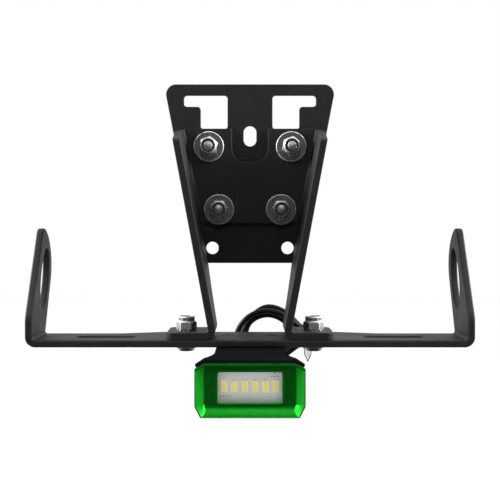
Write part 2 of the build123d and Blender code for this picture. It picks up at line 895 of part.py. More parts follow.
def egg(upper_radius, lower_radius, left, level, tip, tip_radius):
    """Round on the left, drawn out to a small tip on the right."""
    upper = (left + upper_radius, level)
    lower = (left + lower_radius, level)
    over = outer_tangent(upper, upper_radius, tip, tip_radius, 1)
    under = outer_tangent(lower, lower_radius, tip, tip_radius, -1)
    return outline(
        CenterArc(upper, upper_radius, degrees(over), 180 - degrees(over)),
        Line(polar(upper, upper_radius, over), polar(tip, tip_radius, over)),
        CenterArc(tip, tip_radius, degrees(under), degrees(over - under)),
        Line(polar(tip, tip_radius, under), polar(lower, lower_radius, under)),
        CenterArc(lower, lower_radius, 180, 180 + degrees(under)),
    )


def cable_coil():
    """Outer shape of the tied coil: a ring with a higher crest, and a straight tied end on its right."""
    half = coil_bundle / 2
    tip = (coil_tip_x, coil_end_z)
    crest_left = coil_crest_x - coil_crest_radius
    crest_z = bar_top + coil_crest_rise - coil_crest_radius
    ring = egg(coil_upper_radius, coil_lower_radius, coil_left, coil_z, tip, half)
    ring += egg(coil_crest_radius, coil_crest_radius, crest_left, crest_z, tip, half)
    ring += Pos((coil_tip_x + coil_end_x) / 2, coil_end_z) * SlotCenterToCenter(
        coil_end_x - coil_tip_x, coil_bundle
    )
    ring -= egg(
        coil_hole_upper_radius,
        coil_hole_lower_radius,
        coil_left + coil_bundle,
        bar_top - coil_hole_drop,
        (coil_hole_tip_x, coil_end_z),
        coil_hole_tip_radius,
    )
    return extrude(front(coil_front + coil_depth) * ring, coil_depth)


def cable_tie():
    """Strap round the tied end, a head at its lower front corner and a pointed tail below that."""
    inner_y = coil_depth + 2 * tie_clearance
    inner_z = coil_bundle + 2 * tie_clearance
    strap = Rectangle(inner_y + 2 * tie_thick, inner_z + 2 * tie_thick)
    strap = fillet(strap.vertices(), tie_thick) - Rectangle(inner_y, inner_z)
    loop = extrude(from_right(tie_x - tie_width / 2) * Pos(coil_y, coil_end_z) * strap, tie_width)
    head_back = coil_y - inner_y / 2 - tie_thick / 2
    head_top = bar_bottom - tie_head_below
    head = Pos(tie_x, head_back - tie_head_depth / 2, head_top - tie_head_height / 2) * Box(
        tie_head_width, tie_head_depth, tie_head_height
    )
    half = tie_width / 2
    low = head_top - tie_head_height
    tip = low - tie_tail_length
    tail = Polygon(
        (tie_x - half, low),
        (tie_x + half, low),
        (tie_x + half, tip + tie_tail_point),
        (tie_x, tip),
        (tie_x - half, tip + tie_tail_point),
        align=None,
    )
    tail_back = head_back - tie_head_depth / 2 + tie_thick / 2
    return loop + head + extrude(front(tail_back) * tail, tie_thick)


tail_end = coil_z - tail_length


def cable_tail():
    """The last strand, which leaves the left of the coil and hangs down."""
    strand = Pos(tail_x, coil_y, (coil_z + tail_end) / 2) * Cylinder(cable_dia / 2, tail_length)
    return strand - cable_coil()


def cable_end_sleeve():
    middle = tail_end - sleeve_length / 2
    body = Pos(tail_x, coil_y, middle) * Cylinder(sleeve_dia / 2, sleeve_length)
    return fillet(body.edges().filter_by(GeomType.CIRCLE), sleeve_dia / 8)


def bullet_connectors():
    """Two short wires out of the sleeve, each with an insulated bullet socket."""
    top = tail_end - sleeve_length
    profile = Polygon(
        (0, 0),
        (wire_dia / 2, 0),
        (wire_dia / 2, -wire_length),
        (bullet_dia / 2, -wire_length - bullet_dia / 2),
        (bullet_dia / 2, -wire_length - bullet_length),
        (bullet_mouth / 2, -wire_length - bullet_length),
        (bullet_mouth / 2, -wire_length - bullet_length + bullet_mouth_depth),
        (0, -wire_length - bullet_length + bullet_mouth_depth),
        align=None,
    )
    socket = revolve(Plane.XZ * profile, Axis.Z)
    return [Pos(tail_x, coil_y + side * wire_spread, top) * socket for side in (-1, 1)]


def write(name, shape):
    """Write one node: a single solid, or a group of like solids."""
    if isinstance(shape, list):
        shape = Compound(children=shape)
    export_step(shape, f"parts/{name}.step")


os.makedirs("parts", exist_ok=True)
write("mounting_plate", mounting_plate())
write("arm_bracket", arm_bracket())
write("indicator_bar", indicator_bar())
write("lamp_bracket", lamp_bracket())
write("lamp_housing", lamp_housing())
write("lamp_lens", lamp_lens())
write("led_board", led_board())
write("led_chips", led_chips())
write("led_phosphor", led_phosphor())
write("board_components", board_components())
write("lamp_back_plate", lamp_back_plate())
write("lamp_back_screws", back_screws())
write("plate_bolts", on_front(plate_bolts_at, 0, button_bolt(plate_bolt_length)))
write("plate_washers", on_front(plate_bolts_at, web_front, washer()))
turned_nuts = [Rot(0, 0, turn) * lock_nut() for turn in plate_nut_turns]
plate_nuts = [on_front([at], washer_front, nut)[0] for at, nut in zip(plate_bolts_at, turned_nuts)]
write("plate_nuts", plate_nuts)
write("foot_bolts", on_level(foot_bolts_at, bar_bottom, button_bolt(foot_bolt_length)))
write("foot_nuts", on_level(foot_bolts_at, foot_top, lock_nut()))
write(
    "nut_nylon_rings",
    on_front(plate_bolts_at, washer_front, nylon_ring()) + on_level(foot_bolts_at, foot_top, nylon_ring()),
)
bracket_screw = countersunk_screw(m4, m4_head, bracket_screw_length, m4_key, m4_key_depth)
write("lamp_bracket_screws", on_level(bracket_screws_at, bar_top, bracket_screw))
write(
    "lamp_bracket_nuts",
    on_level(bracket_screws_at, lamp_top - m4_nut_height, hex_nut(m4_flats, m4_nut_height, m4)),
)
lamp_screw = countersunk_screw(m25, m25_head, m25_length, m25_key, m25_key_depth)
write("lamp_screws", on_level(lamp_screws_at, bar_bottom, lamp_screw))
write("cable_grommet", cable_grommet())
write("lamp_cable", cable_tube("lamp_cable", lead_points))
write("cable_coil", cable_coil())
write("cable_tie", cable_tie())
write("cable_tail", cable_tail())
write("cable_end_sleeve", cable_end_sleeve())
write("bullet_connectors", bullet_connectors())
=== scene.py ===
from math import cos, radians, sin

import bmesh
import bpy
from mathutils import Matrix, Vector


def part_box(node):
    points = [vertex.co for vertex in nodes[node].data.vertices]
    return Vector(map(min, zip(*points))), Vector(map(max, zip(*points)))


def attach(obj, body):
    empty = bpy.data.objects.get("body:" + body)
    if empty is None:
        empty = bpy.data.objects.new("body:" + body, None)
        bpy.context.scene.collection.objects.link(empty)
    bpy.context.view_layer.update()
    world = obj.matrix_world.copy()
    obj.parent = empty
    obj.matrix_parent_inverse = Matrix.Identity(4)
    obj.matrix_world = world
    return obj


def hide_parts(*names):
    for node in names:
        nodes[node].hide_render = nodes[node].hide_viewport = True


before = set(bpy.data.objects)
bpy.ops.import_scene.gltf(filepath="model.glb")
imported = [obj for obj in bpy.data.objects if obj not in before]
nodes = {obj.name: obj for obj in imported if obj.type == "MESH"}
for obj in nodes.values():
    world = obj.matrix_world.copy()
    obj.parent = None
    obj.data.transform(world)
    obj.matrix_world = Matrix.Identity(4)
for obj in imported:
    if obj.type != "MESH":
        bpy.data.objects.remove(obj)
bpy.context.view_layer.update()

# Sizes below are written in millimetres and turned into metres by this factor
MM = 0.001

# Camera: the viewer stands in front of the underside, a little above the indicator bar
PHOTO_PIXELS = 500
FOCAL_PIXELS = 817
HORIZON_ROW = 229
SENSOR_WIDTH = 36.0
CAMERA_PLACE = (0.0, -490.0, 11.3)

# Cable: the lead's route from the grommet to the coil, then the turns of the coil
CABLE_WIDTH = 3.2
LEAD = (
    (0.0, -71.1, -66.4),
    (0.0, -58.5, -66.4),
    (1.0, -43.0, -68.2),
    (4.2, -26.2, -63.5),
    (6.0, -16.6, -62.8),
    (9.8, -10.6, -62.4),
    (15.6, -9.0, -60.4),
)
COIL_MIDDLE = (10.0, -55.0)
EIGHTH_TURN = 45.0
STEPS_PER_EIGHTH = 2
# Each turn starts in its own column at the tie, runs over the crest, down the left and along the bottom.
# Reach is its distance from the middle at every eighth of a circle on that way, depth its place in Y.
TURNS = (
    {
        "column": -8.8,
        "reach": (16.0, 16.2, 15.5, 12.2, 12.6, 11.4, 10.2),
        "depth": (-8.9, -9.2, -9.6, -9.0, -8.2, -7.0, -6.0),
    },
    {
        "column": -5.55,
        "reach": (20.3, 20.8, 15.8, 15.4, 15.9, 14.7, 12.4),
        "depth": (-5.7, -6.0, -6.2, -8.0, -9.0, -10.0, -11.3),
    },
    {
        "column": -12.05,
        "reach": (18.7, 18.7, 18.7, 18.6),
        "depth": (-12.0, -11.9, -11.6, -10.5),
    },
)
# The narrow end that the tie holds, the same for every turn, as places in X and Z
TIED_END = (
    (30.4, -54.7),
    (36.2, -54.6),
    (39.4, -54.7),
    (40.7, -51.3),
    (39.4, -47.9),
    (36.2, -48.0),
    (30.8, -47.8),
)
TAIL = ((-8.4, -9.8, -60.5), (-8.0, -8.9, -66.0), (-8.0, -8.7, -70.0), (-8.0, -8.7, -73.6))
# How fine its round section and its run are, and how smoothly it passes its points
CABLE_ROUNDNESS = 5
CABLE_FINENESS = 6
CABLE_ORDER = 3

# Rounded edges of the pieces, as widths
SHEET_EDGE = 0.45
ARM_EDGE = 0.5
BAR_EDGE = 0.9
LAMP_EDGE = 0.3
SHELL_EDGE = 0.16
METAL_EDGE = 0.25
WASHER_EDGE = 0.5
TIE_EDGE = 0.5
SMALL_EDGE = 0.1
EDGE_STEPS = 3
# Edges that bend by EDGE_ANGLE or more are rounded, unless they meet an edge shorter than SHORT_EDGE
EDGE_ANGLE = 28.0
SHORT_EDGE = 0.1
# Points closer than MERGE_DISTANCE become one, and so do faces that bend by less than FLAT_ANGLE
MERGE_DISTANCE = 0.002
FLAT_ANGLE = 0.6
EDGE_SLOT = 1
EDGE_MARK = "rounded_edge"

# Bumps in rows: facets round each ball, and from pole to pole
BUMP_SEGMENTS = 12
BUMP_RINGS = 7

# Patterns of the finishes: ripples per millimetre, and detail
DRIFT = (0.07, 3.0)
CLOUDS = (0.35, 3.0)
SCRATCHES = (1.6, 4.0)
EDGE_PATCHES = (0.45, 4.0)
PIMPLE_DETAIL = 2.0
PATTERN_ROUGHNESS = 0.55
# The part of a pattern's greys that counts, from where it sets in to where it is full
PATTERN_SPAN = (0.3, 0.7)
EDGE_PATCH_SPAN = (0.35, 0.6)
WHOLE_SPAN = (0.0, 1.0)
# Scratches run one way: the pattern's stretch along each axis, and its turn
SCRATCH_STRETCH = (0.6, 4.0, 7.0)
SCRATCH_TURN = (0.0, 20.0, 12.0)
# How high the relief of a finish stands
PIMPLE_RISE = 0.1
SCRATCH_RISE = 0.05
WHITE = (1.0, 1.0, 1.0, 1.0)

collection = bpy.context.scene.collection


def metres(place):
    """A place in millimetres as metres."""
    return tuple(MM * value for value in place)


def screen_colour(red, green, blue):
    """A colour in screen values from 0 to 255 as the linear colour that a shader takes."""
    # The usual screen curve: a straight line near black, and a power above it
    linear = []
    for value in (red, green, blue):
        share = value / 255
        linear.append(share / 12.92 if share <= 0.04045 else ((share + 0.055) / 1.055) ** 2.4)
    return (*linear, 1.0)


# Camera
def place_camera():
    data = bpy.data.cameras.new("viewer")
    data.sensor_width = SENSOR_WIDTH
    data.lens = SENSOR_WIDTH * FOCAL_PIXELS / PHOTO_PIXELS
    data.shift_y = (HORIZON_ROW - PHOTO_PIXELS / 2) / PHOTO_PIXELS
    viewer = bpy.data.objects.new("viewer", data)
    viewer.location = metres(CAMERA_PLACE)
    # Turned up from looking down, so that it looks level along +Y
    viewer.rotation_euler = (radians(90), 0, 0)
    collection.objects.link(viewer)
    bpy.context.scene.camera = viewer


# Cable
def at_station(values, place):
    """Value between the stations of a turn, which are evenly spaced."""
    index = min(int(place), len(values) - 2)
    share = place - index
    return values[index] * (1 - share) + values[index + 1] * share


def turn_points(turn):
    """Points of one turn, from the tied end round to its last station."""
    points = [(x, turn["column"], z) for x, z in TIED_END]
    middle_x, middle_z = COIL_MIDDLE
    for step in range((len(turn["reach"]) - 1) * STEPS_PER_EIGHTH + 1):
        place = step / STEPS_PER_EIGHTH
        angle = radians(EIGHTH_TURN * (place + 1))
        reach = at_station(turn["reach"], place)
        depth = at_station(turn["depth"], place)
        points.append((middle_x + reach * cos(angle), depth, middle_z + reach * sin(angle)))
    return points


def lamp_cable():
    """The whole cable on one line: lead, coil and tail."""
    points = list(LEAD)
    for turn in TURNS:
        points += turn_points(turn)
    points += TAIL
    curve = bpy.data.curves.new("coiled_cable", "CURVE")
    curve.dimensions = "3D"
    curve.bevel_depth = MM * CABLE_WIDTH / 2
    curve.bevel_resolution = CABLE_ROUNDNESS
    curve.resolution_u = CABLE_FINENESS
    curve.use_fill_caps = True
    spline = curve.splines.new("NURBS")
    spline.points.add(len(points) - 1)
    for point, place in zip(spline.points, points):
        point.co = (*metres(place), 1.0)
    spline.order_u = CABLE_ORDER
    spline.use_endpoint_u = True
    cable = bpy.data.objects.new("coiled_cable", curve)
    collection.objects.link(cable)
    return cable


# Nodes of shaders and of rows
def new_socket(tree, direction, kind, name, value=None):
    """A named socket on a node group, with its usual value."""
    made = tree.interface.new_socket(name, in_out=direction, socket_type=f"NodeSocket{kind}")
    if value is not None:
        made.default_value = value


def add(tree, kind, settings=None, inputs=None):
    """A node with its settings, and its inputs set to a value or joined to another socket."""
    node = tree.nodes.new(kind)
    for name, value in (settings or {}).items():
        setattr(node, name, value)
    for name, value in (inputs or {}).items():
        if isinstance(value, bpy.types.NodeSocket):
            tree.links.new(value, node.inputs[name])
        else:
            node.inputs[name].default_value = value
    return node


# Pieces with rounded edges and rows of bumps
def plain_mesh(piece):
    """Turns an object with modifiers into one plain mesh."""
    graph = bpy.context.evaluated_depsgraph_get()
    mesh = bpy.data.meshes.new_from_object(piece.evaluated_get(graph))
    piece.modifiers.clear()
    piece.data = mesh
    mesh.name = piece.name


def row_of_bumps():
    """Geometry nodes that add one straight row of small rounded bumps to a piece."""
    tree = bpy.data.node_groups.new("row_of_bumps", "GeometryNodeTree")
    new_socket(tree, "INPUT", "Geometry", "Geometry")
    new_socket(tree, "INPUT", "Int", "Count", 4)
    new_socket(tree, "INPUT", "Vector", "Start", (0.0, 0.0, 0.0))
    new_socket(tree, "INPUT", "Vector", "Step", (MM, 0.0, 0.0))
    new_socket(tree, "INPUT", "Vector", "Bump Size", (MM, MM, MM))
    new_socket(tree, "INPUT", "Material", "Material")
    new_socket(tree, "OUTPUT", "Geometry", "Geometry")
    given = tree.nodes.new("NodeGroupInput").outputs
    out = tree.nodes.new("NodeGroupOutput").inputs
    line = add(
        tree,
        "GeometryNodeMeshLine",
        {"mode": "OFFSET"},
        {"Count": given["Count"], "Start Location": given["Start"], "Offset": given["Step"]},
    )
    ball = add(
        tree,
        "GeometryNodeMeshUVSphere",
        inputs={"Segments": BUMP_SEGMENTS, "Rings": BUMP_RINGS, "Radius": 0.5},
    )
    bump = add(
        tree,
        "GeometryNodeTransform",
        inputs={"Geometry": ball.outputs["Mesh"], "Scale": given["Bump Size"]},
    )
    row = add(
        tree,
        "GeometryNodeInstanceOnPoints",
        inputs={"Points": line.outputs["Mesh"], "Instance": bump.outputs["Geometry"]},
    )
    joined = add(tree, "GeometryNodeJoinGeometry")
    tree.links.new(row.outputs["Instances"], joined.inputs["Geometry"])
    tree.links.new(given["Geometry"], joined.inputs["Geometry"])
    real = add(tree, "GeometryNodeRealizeInstances", inputs={"Geometry": joined.outputs["Geometry"]})
    smooth = add(tree, "GeometryNodeSetShadeSmooth", inputs={"Geometry": real.outputs["Geometry"]})
    coloured = add(
        tree,
        "GeometryNodeSetMaterial",
        inputs={"Geometry": smooth.outputs["Geometry"], "Material": given["Material"]},
    )
    tree.links.new(coloured.outputs["Geometry"], out["Geometry"])
    return tree


def add_row(piece, material, count, start, step, size):
    """Adds one row of bumps to a piece as a modifier; places and sizes are in millimetres."""
    values = {
        "Count": count,
        "Start": metres(start),
        "Step": metres(step),
        "Bump Size": metres(size),
        "Material": material,
    }
    row = piece.modifiers.new("row_of_bumps", "NODES")
    row.node_group = ROW_OF_BUMPS
    for socket in ROW_OF_BUMPS.interface.items_tree:
        if socket.in_out == "INPUT" and socket.name in values:
            row[socket.identifier] = values[socket.name]


def mark_rounded_edges(mesh):
    """Keeps where the rounded edges are as a value on the faces, and leaves one material."""
    count = len(mesh.polygons)
    places = [0] * count
    mesh.polygons.foreach_get("material_index", places)
    mark = mesh.attributes.new(EDGE_MARK, "FLOAT", "FACE")
    mark.data.foreach_set("value", [float(place == EDGE_SLOT) for place in places])
    mesh.polygons.foreach_set("material_index", [0] * count)


def choose_edges(shape):
    """Marks the sharp edges to round, apart from those that end at a very short edge."""
    weights = shape.edges.layers.float.new("bevel_weight_edge")
    for edge in shape.edges:
        lengths = [near.calc_length() for vertex in edge.verts for near in vertex.link_edges]
        sharp = edge.calc_face_angle(0.0) >= radians(EDGE_ANGLE)
        edge[weights] = float(sharp and min(lengths) >= MM * SHORT_EDGE)


def eased(node, name, edge, material, rows=()):
    """A copy of a node with its edges rounded, which stands for the node."""
    shape = bmesh.new()
    shape.from_mesh(nodes[node].data)
    bmesh.ops.remove_doubles(shape, verts=shape.verts, dist=MM * MERGE_DISTANCE)
    bmesh.ops.dissolve_limit(shape, angle_limit=radians(FLAT_ANGLE), verts=shape.verts, edges=shape.edges)
    choose_edges(shape)
    mesh = bpy.data.meshes.new(name)
    shape.to_mesh(mesh)
    shape.free()
    if "custom_normal" in mesh.attributes:
        mesh.attributes.remove(mesh.attributes["custom_normal"])
    mesh.materials.clear()
    mesh.materials.append(material)
    mesh.materials.append(material)
    mesh.shade_smooth()
    piece = bpy.data.objects.new(name, mesh)
    collection.objects.link(piece)
    rounding = piece.modifiers.new("rounded_edges", "BEVEL")
    rounding.width = MM * edge
    rounding.segments = EDGE_STEPS
    rounding.material = EDGE_SLOT
    rounding.limit_method = "WEIGHT"
    rounding.use_clamp_overlap = False
    piece.modifiers.new("flat_faces", "WEIGHTED_NORMAL")
    plain_mesh(piece)
    mark_rounded_edges(piece.data)
    if rows:
        for row in rows:
            add_row(piece, material, *row)
        plain_mesh(piece)
    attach(piece, "root")
    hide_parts(node)
    return piece


# Finishes
def place_in_mm(tree, stretch=(1.0, 1.0, 1.0), turn=(0.0, 0.0, 0.0)):
    """Object coordinates in millimetres, turned and stretched to lay a pattern."""
    here = add(tree, "ShaderNodeTexCoord")
    mapping = add(tree, "ShaderNodeMapping", inputs={"Vector": here.outputs["Object"]})
    mapping.inputs["Scale"].default_value = [value / MM for value in stretch]
    mapping.inputs["Rotation"].default_value = [radians(value) for value in turn]
    return mapping.outputs["Vector"]


def noise(tree, place, ripples, detail):
    """Grey noise from 0 to 1, with so many ripples per millimetre."""
    inputs = {"Vector": place, "Scale": ripples, "Detail": detail, "Roughness": PATTERN_ROUGHNESS}
    return add(tree, "ShaderNodeTexNoise", inputs=inputs).outputs["Fac"]


def spread(tree, value, low, high, span=PATTERN_SPAN):
    """A span of a grey value laid out from low to high."""
    inputs = {"Value": value, "From Min": span[0], "From Max": span[1], "To Min": low, "To Max": high}
    return add(tree, "ShaderNodeMapRange", inputs=inputs).outputs["Result"]


def blend_colours(tree, share, first, second):
    """The first colour where the share is 0 and the second where it is 1."""
    made = add(tree, "ShaderNodeMix", {"data_type": "RGBA"})
    tree.links.new(share, made.inputs["Factor"])
    for name, value in (("A", first), ("B", second)):
        socket = next(s for s in made.inputs if s.name == name and s.type == "RGBA")
        if isinstance(value, bpy.types.NodeSocket):
            tree.links.new(value, socket)
        else:
            socket.default_value = value
    return next(s for s in made.outputs if s.type == "RGBA")


def edge_wear_and_painted_light():
    """Patches along the rounded edges that a piece has marked on its faces: partly rub, and partly
    painted light, a painted highlight on bright rims and a painted dark outline on the tie.
    """
    tree = bpy.data.node_groups.new("edge_wear_and_painted_light", "ShaderNodeTree")
    new_socket(tree, "INPUT", "Float", "Share", 0.5)
    new_socket(tree, "OUTPUT", "Float", "Wear And Painted Light")
    given = tree.nodes.new("NodeGroupInput").outputs
    out = tree.nodes.new("NodeGroupOutput").inputs
    mark = add(tree, "ShaderNodeAttribute", {"attribute_name": EDGE_MARK})
    patches = spread(tree, noise(tree, place_in_mm(tree), *EDGE_PATCHES), 0.0, 1.0, EDGE_PATCH_SPAN)
    on_edges = add(tree, "ShaderNodeMath", {"operation": "MULTIPLY"})
    tree.links.new(patches, on_edges.inputs[0])
    tree.links.new(mark.outputs["Fac"], on_edges.inputs[1])
    wear_and_light = add(tree, "ShaderNodeMath", {"operation": "MULTIPLY", "use_clamp": True})
    tree.links.new(on_edges.outputs[0], wear_and_light.inputs[0])
    tree.links.new(given["Share"], wear_and_light.inputs[1])
    tree.links.new(wear_and_light.outputs[0], out["Wear And Painted Light"])
    return tree


def finish_group(name, inputs):
    """An empty group for a finish: named inputs, and a colour, a roughness and a normal put out."""
    tree = bpy.data.node_groups.new(name, "ShaderNodeTree")
    for socket_name, kind, value in inputs:
        new_socket(tree, "INPUT", kind, socket_name, value)
    new_socket(tree, "OUTPUT", "Color", "Colour")
    new_socket(tree, "OUTPUT", "Float", "Roughness")
    new_socket(tree, "OUTPUT", "Vector", "Normal")
    return tree, tree.nodes.new("NodeGroupInput").outputs, tree.nodes.new("NodeGroupOutput").inputs


def sprayed_finish():
    """A coat or moulded skin: fine pimples, and a tone that drifts slowly over the piece."""
    tree, given, out = finish_group(
        "sprayed_finish",
        (
            ("Tone", "Color", (0.02, 0.02, 0.02, 1.0)),
            ("Drift", "Color", (0.03, 0.03, 0.03, 1.0)),
            ("Pimples Per Millimetre", "Float", 2.5),
            ("Pimple Height", "Float", 0.3),
            ("Shiny", "Float", 0.4),
            ("Dull", "Float", 0.5),
            ("Edge Tone", "Color", (0.03, 0.03, 0.03, 1.0)),
            ("Edge Share", "Float", 0.4),
        ),
    )
    place = place_in_mm(tree)
    pimples = noise(tree, place, given["Pimples Per Millimetre"], PIMPLE_DETAIL)
    drift = noise(tree, place, *DRIFT)
    colour = blend_colours(tree, spread(tree, drift, 0.0, 1.0), given["Tone"], given["Drift"])
    # Edge patches: partly wear, partly a painted highlight or painted dark outline along the edges
    wear_and_light = add(tree, "ShaderNodeGroup", {"node_tree": EDGE_WEAR_AND_PAINTED_LIGHT}, {"Share": given["Edge Share"]})
    colour = blend_colours(tree, wear_and_light.outputs["Wear And Painted Light"], colour, given["Edge Tone"])
    bump = add(
        tree,
        "ShaderNodeBump",
        inputs={"Strength": given["Pimple Height"], "Distance": MM * PIMPLE_RISE, "Height": pimples},
    )
    tree.links.new(colour, out["Colour"])
    tree.links.new(spread(tree, drift, given["Shiny"], given["Dull"]), out["Roughness"])
    tree.links.new(bump.outputs["Normal"], out["Normal"])
    return tree


def worked_metal():
    """Bare or dyed metal: short fine scratches one way, and slightly cloudy patches."""
    tree, given, out = finish_group(
        "worked_metal",
        (
            ("Tone", "Color", (0.6, 0.6, 0.6, 1.0)),
            ("Cloud", "Color", (0.5, 0.5, 0.5, 1.0)),
            ("Scratch Depth", "Float", 0.1),
            ("Shiny", "Float", 0.2),
            ("Dull", "Float", 0.35),
            ("Edge Tone", "Color", (0.8, 0.8, 0.8, 1.0)),
            ("Edge Share", "Float", 0.6),
            ("Edge Roughness", "Float", 0.4),
        ),
    )
    scratches = noise(tree, place_in_mm(tree, SCRATCH_STRETCH, SCRATCH_TURN), *SCRATCHES)
    clouds = noise(tree, place_in_mm(tree), *CLOUDS)
    colour = blend_colours(tree, spread(tree, clouds, 0.0, 1.0), given["Tone"], given["Cloud"])
    # Edge patches: partly wear, partly a painted highlight along the rims
    wear_and_light = add(tree, "ShaderNodeGroup", {"node_tree": EDGE_WEAR_AND_PAINTED_LIGHT}, {"Share": given["Edge Share"]})
    colour = blend_colours(tree, wear_and_light.outputs["Wear And Painted Light"], colour, given["Edge Tone"])
    bump = add(
        tree,
        "ShaderNodeBump",
        inputs={"Strength": given["Scratch Depth"], "Distance": MM * SCRATCH_RISE, "Height": scratches},
    )
    faces = spread(tree, scratches, given["Shiny"], given["Dull"])
    roughness = spread(tree, wear_and_light.outputs["Wear And Painted Light"], faces, given["Edge Roughness"], WHOLE_SPAN)
    tree.links.new(colour, out["Colour"])
    tree.links.new(roughness, out["Roughness"])
    tree.links.new(bump.outputs["Normal"], out["Normal"])
    return tree


EDGE_WEAR_AND_PAINTED_LIGHT = edge_wear_and_painted_light()
SPRAYED = sprayed_finish()
WORKED = worked_metal()
ROW_OF_BUMPS = row_of_bumps()


def finished_material(name, group, values, shader=None):
    """A material with its colour, roughness and normal from a finish, and plain values on the shader."""
    material = bpy.data.materials.new(name)
    material.use_nodes = True
    tree = material.node_tree
    principled = tree.nodes["Principled BSDF"]
    finish = add(tree, "ShaderNodeGroup", {"node_tree": group}, values)
    tree.links.new(finish.outputs["Colour"], principled.inputs["Base Color"])
    tree.links.new(finish.outputs["Roughness"], principled.inputs["Roughness"])
    tree.links.new(finish.outputs["Normal"], principled.inputs["Normal"])
    for socket, value in (shader or {}).items():
        principled.inputs[socket].default_value = value
    return material


def sprayed(name, tone, drift, edge_tone, gloss, pimples=(2.5, 0.3), shader=None, edge_share=0.4):
    """A coated or moulded material.

    Gloss is its roughness from shiny to dull, and pimples are their number per millimetre and height.
    """
    values = {
        "Tone": screen_colour(*tone),
        "Drift": screen_colour(*drift),
        "Pimples Per Millimetre": pimples[0],
        "Pimple Height": pimples[1],
        "Shiny": gloss[0],
        "Dull": gloss[1],
        "Edge Tone": screen_colour(*edge_tone),
        "Edge Share": edge_share,
    }
    return finished_material(name, SPRAYED, values, shader)


def metal(name, tone, cloud, edge_tone, gloss, scratches, edge_share=0.6, edge_gloss=0.4):
    """A bare or dyed metal.

    Gloss is its roughness from shiny to dull, edge_gloss that of the edge patches, and scratches their
    depth.
    """
    values = {
        "Tone": screen_colour(*tone),
        "Cloud": screen_colour(*cloud),
        "Scratch Depth": scratches,
        "Shiny": gloss[0],
        "Dull": gloss[1],
        "Edge Tone": screen_colour(*edge_tone),
        "Edge Share": edge_share,
        "Edge Roughness": edge_gloss,
    }
    return finished_material(name, WORKED, values, {"Metallic": 1.0})


# Materials: name, tone, second tone, tone of the edge patches (wear, and on some pieces a painted
# highlight or a painted dark outline), gloss, then pimples or scratches
# The lighter edge tone is partly rub and partly a painted highlight along the coated edges.
powder_black = sprayed(
    "powder_black", (17, 17, 18), (22, 22, 23), (40, 40, 41), (0.56, 0.66), (1.1, 0.9),
    {"Specular IOR Level": 0.4},
)
sheet_black = sprayed(
    "sheet_black", (15, 15, 16), (19, 19, 20), (30, 30, 31), (0.62, 0.7), (2.0, 0.4),
    {"Specular IOR Level": 0.0},
)
back_black = sprayed("back_black", (22, 22, 22), (30, 30, 30), (42, 42, 42), (0.5, 0.6), (4.0, 0.2))
rubber_black = sprayed(
    "rubber_black", (15, 15, 16), (21, 21, 22), (26, 26, 27), (0.34, 0.44), (1.6, 0.25),
    {"Specular IOR Level": 0.2},
)
sleeve_black = sprayed("sleeve_black", (18, 18, 19), (26, 26, 26), (32, 32, 32), (0.5, 0.62), (3.0, 0.25))
ring_nylon = sprayed("ring_nylon", (34, 34, 36), (46, 46, 48), (56, 56, 58), (0.4, 0.5), (3.0, 0.15))
green_anodised = metal(
    "green_anodised", (36, 186, 50), (30, 172, 44), (96, 216, 104), (0.42, 0.52), 0.06,
    edge_gloss=0.52,
)
# The near-white edge tone, laid over nearly the whole rounded rims, is a painted highlight on the washer
# rims and nut edges.
stainless = metal(
    "stainless", (206, 207, 209), (194, 195, 198), (240, 240, 241), (0.18, 0.3), 0.04,
    edge_share=3.0, edge_gloss=0.7,
)
turned_steel = metal(
    "turned_steel", (206, 207, 209), (190, 191, 194), (226, 227, 228), (0.42, 0.54), 0.08,
    edge_gloss=0.54,
)
# Painted shade: a darker copy of the bolt steel for the foot bolt heads, which sit in shade under the
# bar; they are the same steel as the other bolts.
shade_darkened_steel = metal("shade_darkened_steel", (160, 161, 163), (142, 143, 146), (190, 191, 192), (0.34, 0.46), 0.08)
solder = metal("solder", (200, 201, 203), (178, 179, 182), (210, 210, 212), (0.25, 0.4), 0.1)
black_oxide = metal("black_oxide", (52, 52, 54), (40, 40, 42), (80, 80, 82), (0.3, 0.45), 0.1)
board_coat = sprayed(
    "board_coat", (200, 200, 199), (192, 192, 191), (208, 208, 207), (0.4, 0.5), (1.2, 0.08),
)
package_white = sprayed(
    "package_white", (250, 246, 226), (244, 238, 210), (252, 250, 236), (0.4, 0.5), (4.0, 0.05),
)
glow_yellow = sprayed(
    "glow_yellow", (226, 214, 92), (228, 198, 76), (240, 226, 130), (0.3, 0.42), (5.0, 0.1),
)
chip_grey = sprayed("chip_grey", (44, 44, 46), (60, 60, 62), (80, 80, 82), (0.4, 0.5), (4.0, 0.1))
clear_lens = sprayed(
    "clear_lens", (236, 240, 238), (228, 232, 230), (244, 246, 245), (0.05, 0.1), (0.5, 0.01),
    {"Alpha": 0.06, "IOR": 1.49},
)
# The near-black edge tone, laid over nearly the whole rounded edges, is a painted dark outline: painted
# shade where the clear nylon bends light away.
tie_nylon = sprayed(
    "tie_nylon", (250, 250, 248), (244, 244, 240), (26, 26, 27), (0.2, 0.3), (2.0, 0.1),
    {"Transmission Weight": 0.8, "IOR": 1.3}, edge_share=3.0,
)


def paint(piece, material):
    """Gives a piece or a node one material, and a new piece its slot."""
    piece.data.materials.clear()
    piece.data.materials.append(material)


# Small rows on the lamp's board and on the tie
LED_COUNT = 6
LED_WIDTH = 3.1
CHIP_WIDTH = 0.7
CHIP_HEIGHT = 0.5
CHIPS_ABOVE = 3
CHIPS_BELOW = 4
CHIP_PITCH = 1.5
LONE_CHIP_RISE = 1.8
LED_JOINT = (1.9, 0.5, 0.7)
CHIP_JOINT = (0.25, 0.3, 0.45)
TIE_RIDGE = (2.2, 0.3, 0.35)
TIE_RIDGE_PITCH = 1.0
TIE_RIDGE_COUNT = 5
TIE_TAIL_TOP = 8.0
TIE_TAIL_BACK = -16.0


def in_mm(node):
    """Lowest and highest corner of a node's box in millimetres."""
    return [[value / MM for value in corner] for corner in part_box(node)]


